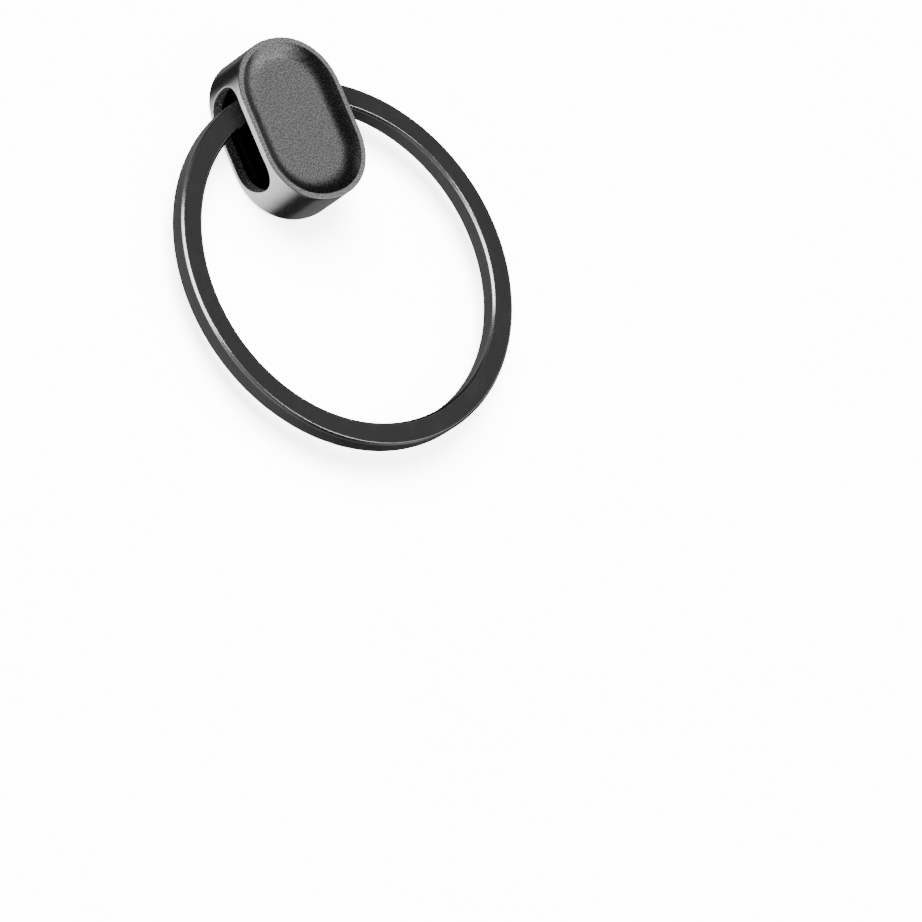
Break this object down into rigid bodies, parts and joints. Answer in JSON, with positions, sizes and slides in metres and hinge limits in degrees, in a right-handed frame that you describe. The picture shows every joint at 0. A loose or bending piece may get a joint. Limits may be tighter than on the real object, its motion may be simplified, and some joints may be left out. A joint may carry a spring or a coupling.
{
  "type": "key ring",
  "caption": "Round key ring of bevelled flat spring band whose ends meet inside an obround metal capsule; one end springs out of the capsule's side window to take keys.",
  "frame": {"origin": "centre of the ring, in the middle of the band's thickness", "axes": "+Z out of the capsule's dished front, along the ring's axis; +Y from the ring's centre to the capsule; the object lies on its back cover"},
  "size_m": [0.0342, 0.0378, 0.0052],
  "materials": {
    "ring_steel": "dark charcoal coated spring steel, satin, with bright bevelled edges",
    "capsule_metal": "dark grey bead-blasted metal with a fine grain",
    "pin_steel": "plain turned steel, satin",
    "guide_plastic": "black moulded plastic, matt"
  },
  "bodies": {
    "capsule": {"capsule_body": "capsule_metal", "rear_cover": "capsule_metal", "ring_guide": "guide_plastic", "anchor_pin": "pin_steel", "catch_pin": "pin_steel", "cover_rivet": "pin_steel", "ring_fixed_limb": "ring_steel"},
    "free_limb": {"ring_free_limb": "ring_steel"}
  },
  "joints": [
    {"name": "ring_opening_flex", "type": "hinge", "parent": "capsule", "child": "free_limb", "pos_m": [0.01137, -0.01137, 0], "axis": [0, 0, 1], "range_deg": [0, 15], "stiffness_Nm_per_rad": 5.7}
  ]
}
